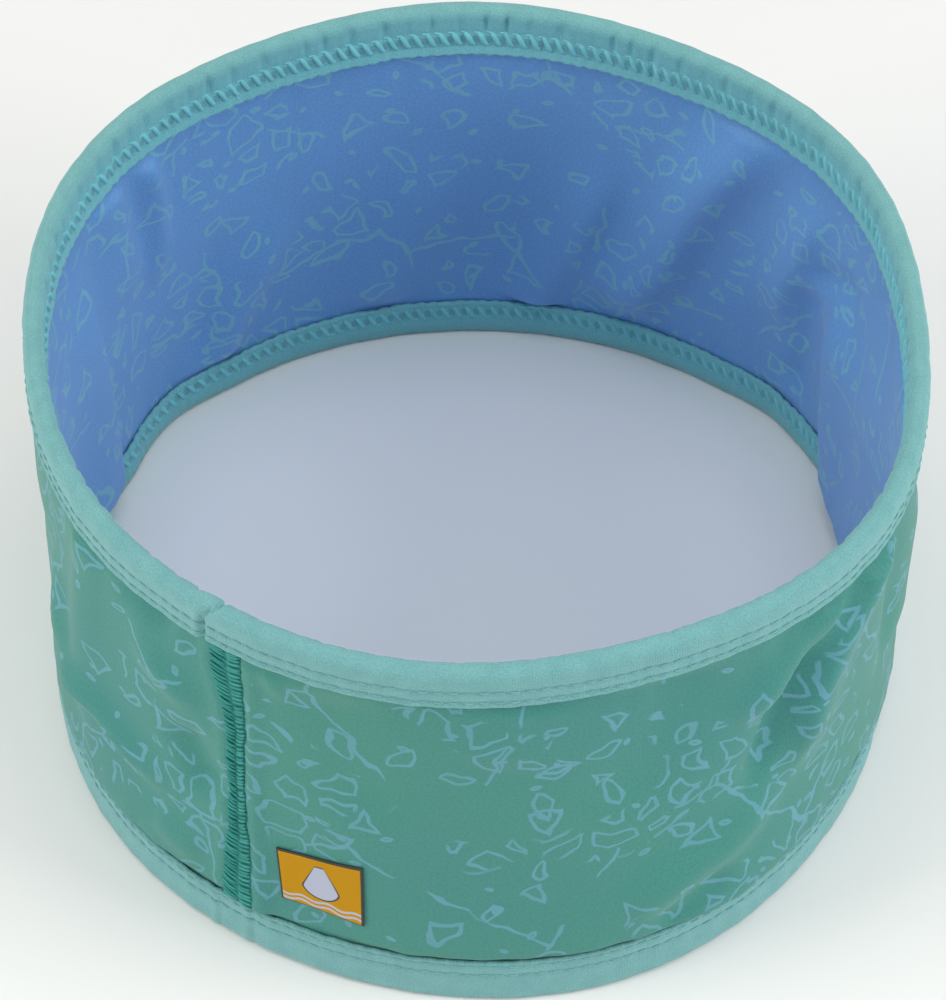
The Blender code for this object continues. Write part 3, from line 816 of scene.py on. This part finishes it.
class GAITER_OT_lining(bpy.types.Operator):
    """Makes the printed lining, a second tube inside the outer cloth"""
    bl_idname = "gaiter.lining"
    bl_label = "Lining"

    def execute(self, context):
        knit = printed_interlock_knit("lining", (310, 170), 0.85, 0.17, (0.95, 0.92, 1.0))
        make_cloth("lining_cloth", "inner_lining", "inner", LINING_SAG, knit)
        return {"FINISHED"}


def normals_at(here, beside, onward):
    """Unit normals from three nearby sets of points: one way crossed with the other."""
    normal = np.cross(beside - here, onward - here)
    return normal / np.linalg.norm(normal, axis=-1, keepdims=True)


def surface_frame(tape, upper, angle, arc, lift):
    """Points over the tape and the tape's normals there, from three nearby points."""
    here = tape_place(tape, upper, angle, arc, lift)
    beside = tape_place(tape, upper, angle + 0.4, arc, lift)
    return here, normals_at(here, beside, tape_place(tape, upper, angle, arc + 0.3 * MM, lift))


def make_tape(name, tape, upper, node):
    """The tape carried round the rim: its section by the arc, five columns to a stitch."""
    steps = STITCHES * 5
    needles, chain = tape_rows(tape, upper)
    arc = graded(tape_length(tape), (*needles, *chain, 0, tape_length(tape)), 0.8 * MM, 44)
    angle = np.arange(steps + 1) * 360 / steps
    points = tape_place(tape, upper, angle[None, :-1], arc[:, None], 0)
    nap = brushed_fold_tape(name + "_brushed_nylon", tape, upper)
    return finish_piece(grid_mesh(name, points, rim_uv(angle, arc), nap, closed=True), node, TAPE_WALL)


def make_thread(name, tape, upper, sides, material, rows):
    """Thread sewn along the tape, a strand for each stitch in every row: a row gives its turn in stitches, its arc,
    its lift in mm and its thickness in threads, each along the strand's run."""
    radius = bpy.context.scene.gaiter_sizes.thread_radius
    strands = []
    for turn, arc, lift, thickness in rows:
        angle = (np.arange(STITCHES)[:, None] + turn) * 360 / STITCHES
        strands.append((*surface_frame(tape, upper, angle, arc + 0 * angle, lift * MM),
                        np.broadcast_to(radius * thickness, angle.shape)))
    paths, normals, thicknesses = (np.concatenate(parts) for parts in zip(*strands))
    return finish_piece(thread_mesh(name, paths, normals, thicknesses, sides, material))


def make_needle_thread(name, tape, upper, material):
    """The two needle rows: a short thread for each stitch, which dips into the tape at both ends."""
    run = np.linspace(-0.5, 0.5, 6)
    lift, thickness = 0.14 - 2.16 * np.abs(run) ** 3, 1 - 0.5 * np.abs(run * 2) ** 4
    rows = [(0.5 + run * 0.72, arc, lift, thickness) for arc in tape_rows(tape, upper)[0]]
    return make_thread(name, tape, upper, 6, material, rows)


def make_looper_thread(name, tape, upper, material):
    """The chain on the inside: a thick soft strand for each stitch, which slants from one chain row to the other
    along a smooth step, and a short thin one along the row nearer the fold."""
    near, far = sorted(tape_rows(tape, upper)[1])
    run = np.linspace(0, 1, 8)
    dip, thickness = 2 * np.abs(run - 0.5) ** 3, 1 - 0.4 * np.abs(run * 2 - 1) ** 4
    return make_thread(name, tape, upper, 8, material, (
        (0.95 - 0.9 * run, near + (far - near) * smooth(run), -0.12 - dip, 2.8 * thickness),
        (0.5 * (run - 0.5), near if upper else far, 0.03 - dip, 1.3 * thickness)))


class GAITER_OT_bindings(bpy.types.Operator):
    """Makes the fold-over tape at both rims with its needle and looper threads"""
    bl_idname = "gaiter.bindings"
    bl_label = "Bindings"

    def execute(self, context):
        colours = context.scene.gaiter_colours
        thread = spun_thread("spun_polyester_tape_thread", colours.tape, colours.tape_shade)
        looped = spun_thread("spun_polyester_looper_thread", colours.looper, colours.tape_painted_bounce)
        for name, tape, upper, node in (("upper_tape", UPPER_TAPE, True, "top_binding"),
                                        ("lower_tape", LOWER_TAPE, False, "bottom_binding")):
            piece = make_tape(name, tape, upper, node)
            sewn = [make_needle_thread(name + "_needle_thread", tape, upper, thread),
                    make_looper_thread(name + "_looper_thread", tape, upper, looped)]
        return {"FINISHED"}


def seam_place(across, up, lift):
    """Points over the outer cloth on the seam: across from -0.5 to 0.5 of its width, up from tape to tape."""
    sizes = bpy.context.scene.gaiter_sizes
    low, high = LOWER_TAPE["outer"] - 0.5 * MM, sizes.height - UPPER_TAPE["outer"] + 0.5 * MM
    rise = low + (high - low) * up
    middle, width = seam_at(rise)
    return over_cloth(middle + across * width / sizes.neck_radius * 180 / math.pi, rise, lift)


class GAITER_OT_side_seam(bpy.types.Operator):
    """Makes the overlock seam: its bed and two columns of slanted strands"""
    bl_idname = "gaiter.side_seam"
    bl_label = "Side seam"

    def execute(self, context):
        colours = context.scene.gaiter_colours
        across, up = np.linspace(-0.5, 0.5, 13)[None, :], np.linspace(0, 1, 140)[:, None]
        bed = seam_place(across, up, (0.32 - 0.29 * np.abs(across * 2) ** 3) * MM)
        uv = np.stack(np.broadcast_arrays((across + 0.5) * 0.012, up * 0.14), axis=-1)
        # The bed is all overlock shadow colour: painted shade under and between the strands.
        bed_shadow = spun_thread("overlock_bed_thread", colours.seam_deep, colours.seam_deep)
        piece = grid_mesh("overlock_bed", bed, uv, bed_shadow, closed=False)
        finish_piece(piece, "side_seam", 0.3 * MM)
        run = np.linspace(0, 1, 7)[None, :]
        pairs = 72
        chance = np.random.default_rng(11).uniform(-1, 1, (pairs, 2))
        rows = (np.arange(pairs)[:, None] + 0.5 + 0.22 * chance[:, :1]) / pairs
        lift = (0.14 + (0.42 + 0.1 * chance[:, 1:]) * np.sin(math.pi * run) ** 0.7) * MM
        columns = []
        for start, end, slant in ((-0.5, 0.03, -0.010), (0.03, 0.5, 0.018)):
            across = start + (end - start) * run
            up = np.clip(rows + slant * (run - 0.5), 0, 1)
            here = seam_place(across, up, lift)
            columns.append((here, normals_at(here, seam_place(across + 0.05, up, lift),
                                             seam_place(across, up + 0.004, lift))))
        paths, normals = (np.concatenate(parts) for parts in zip(*columns))
        thickness = context.scene.gaiter_sizes.thread_radius * 1.5 * (1 - 0.35 * np.abs(run * 2 - 1) ** 4)
        thread = spun_thread("overlock_spun_thread", colours.seam, colours.seam_deep, 0.75)
        finish_piece(thread_mesh("overlock_strands", paths, normals, thickness, 6, thread))
        return {"FINISHED"}


class GAITER_OT_patch(bpy.types.Operator):
    """Makes the woven patch that is sewn on beside the seam"""
    bl_idname = "gaiter.patch"
    bl_label = "Patch"

    def execute(self, context):
        across, up = np.meshgrid(np.linspace(0, 1, 57), np.linspace(0, 1, 55))
        corners = np.array(PATCH_CORNERS)
        lower = corners[0] + (corners[1] - corners[0]) * across[..., None]
        upper = corners[2] + (corners[3] - corners[2]) * across[..., None]
        spot = lower + (upper - lower) * up[..., None]
        edge = np.minimum(np.minimum(across, 1 - across), np.minimum(up, 1 - up))
        lift = (0.62 - 0.2 * np.exp(-edge / 0.02)) * MM
        points = over_cloth(spot[..., 0], spot[..., 1] * context.scene.gaiter_sizes.height, lift)
        flat = (15.5 * MM, 14.8 * MM)
        piece = grid_mesh("woven_patch", points, np.stack([across, up], axis=-1),
                          woven_damask_patch("woven_damask_patch", *flat), closed=False)
        finish_piece(piece, "label", 0.5 * MM)
        return {"FINISHED"}


class GAITER_OT_studio(bpy.types.Operator):
    """Sets up the pale floor, the soft lights and the camera"""
    bl_idname = "gaiter.studio"
    bl_label = "Studio"

    def execute(self, context):
        scene, studio = context.scene, context.scene.gaiter_studio
        scene.view_settings.view_transform = "Standard"
        floor_paint, _, shader = start_material("matt_white_studio_floor", 0.9, 0.0, (1, 1, 1), 0.0)
        shader.inputs["Base Color"].default_value = (0.88, 0.88, 0.87, 1)
        corners = np.array([(-3, -3, 0), (3, -3, 0), (3, 3, 0), (-3, 3, 0)], float)
        put_mesh("studio_floor", corners, np.array([[0, 1, 2, 3]]), np.zeros((1, 4, 2)), floor_paint)
        scene.world = bpy.data.worlds.new("even_room_light")
        scene.world.use_nodes = True
        back = scene.world.node_tree.nodes["Background"]
        back.inputs["Color"].default_value = (0.93, 0.96, 1.0, 1)
        back.inputs["Strength"].default_value = studio.sky
        for name, spot, size, power, light_colour in (
            ("overhead_softbox", (0.0, -0.1, 1.3), 0.8, studio.key, (1.0, 0.98, 0.95)),
            ("right_softbox", (0.9, -0.3, 0.6), 0.5, studio.right, (1.0, 0.98, 0.95)),
            ("left_softbox", (-0.95, -0.3, 0.55), 0.5, studio.left, (1.0, 0.94, 0.84)),
        ):
            light = bpy.data.lights.new(name, "AREA")
            light.size, light.energy, light.color = size, power, light_colour
            lamp = bpy.data.objects.new(name, light)
            lamp.location = spot
            lamp.rotation_euler = (-lamp.location).to_track_quat("-Z", "Y").to_euler()
            scene.collection.objects.link(lamp)
        lens = bpy.data.cameras.new("camera")
        lens.lens, lens.sensor_width, lens.clip_start = studio.lens, 36, 0.01
        camera = bpy.data.objects.new("camera", lens)
        camera.location = (AIM[0], AIM[1] - studio.distance * math.cos(studio.elevation),
                           AIM[2] + studio.distance * math.sin(studio.elevation))
        camera.rotation_euler = (math.pi / 2 - studio.elevation, 0, 0)
        scene.collection.objects.link(camera)
        scene.camera = camera
        return {"FINISHED"}


class GAITER_PT_panel(bpy.types.Panel):
    """Lists the pieces of the gaiter in the 3D view's sidebar"""
    bl_idname = "GAITER_PT_panel"
    bl_label = "Neck gaiter"
    bl_space_type = "VIEW_3D"
    bl_region_type = "UI"
    bl_category = "Gaiter"

    def draw(self, context):
        for group in GROUPS:
            settings = getattr(context.scene, group)
            for name in settings.bl_rna.properties.keys():
                if name not in ("rna_type", "name"):
                    self.layout.prop(settings, name)
        for operator in OPERATORS:
            self.layout.operator(operator.bl_idname)


GROUPS = {"gaiter_sizes": GaiterSizes, "gaiter_colours": GaiterColours, "gaiter_studio": GaiterStudio}
OPERATORS = (GAITER_OT_outer_cloth, GAITER_OT_lining, GAITER_OT_bindings, GAITER_OT_side_seam, GAITER_OT_patch,
             GAITER_OT_studio)


def register():
    """Registers the classes and puts the three groups on the scene."""
    for group in (*GROUPS.values(), *OPERATORS, GAITER_PT_panel):
        bpy.utils.register_class(group)
    for name, group in GROUPS.items():
        setattr(bpy.types.Scene, name, bpy.props.PointerProperty(type=group))


def unregister():
    """Takes back what register did."""
    for name in GROUPS:
        delattr(bpy.types.Scene, name)
    for group in (GAITER_PT_panel, *reversed(OPERATORS), *reversed(GROUPS.values())):
        bpy.utils.unregister_class(group)


def main():
    """Makes every piece in order."""
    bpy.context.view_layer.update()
    register()
    bpy.ops.gaiter.studio()
    bpy.ops.gaiter.outer_cloth()
    bpy.ops.gaiter.lining()
    bpy.ops.gaiter.bindings()
    bpy.ops.gaiter.side_seam()
    bpy.ops.gaiter.patch()


if __name__ == "__main__":
    main()
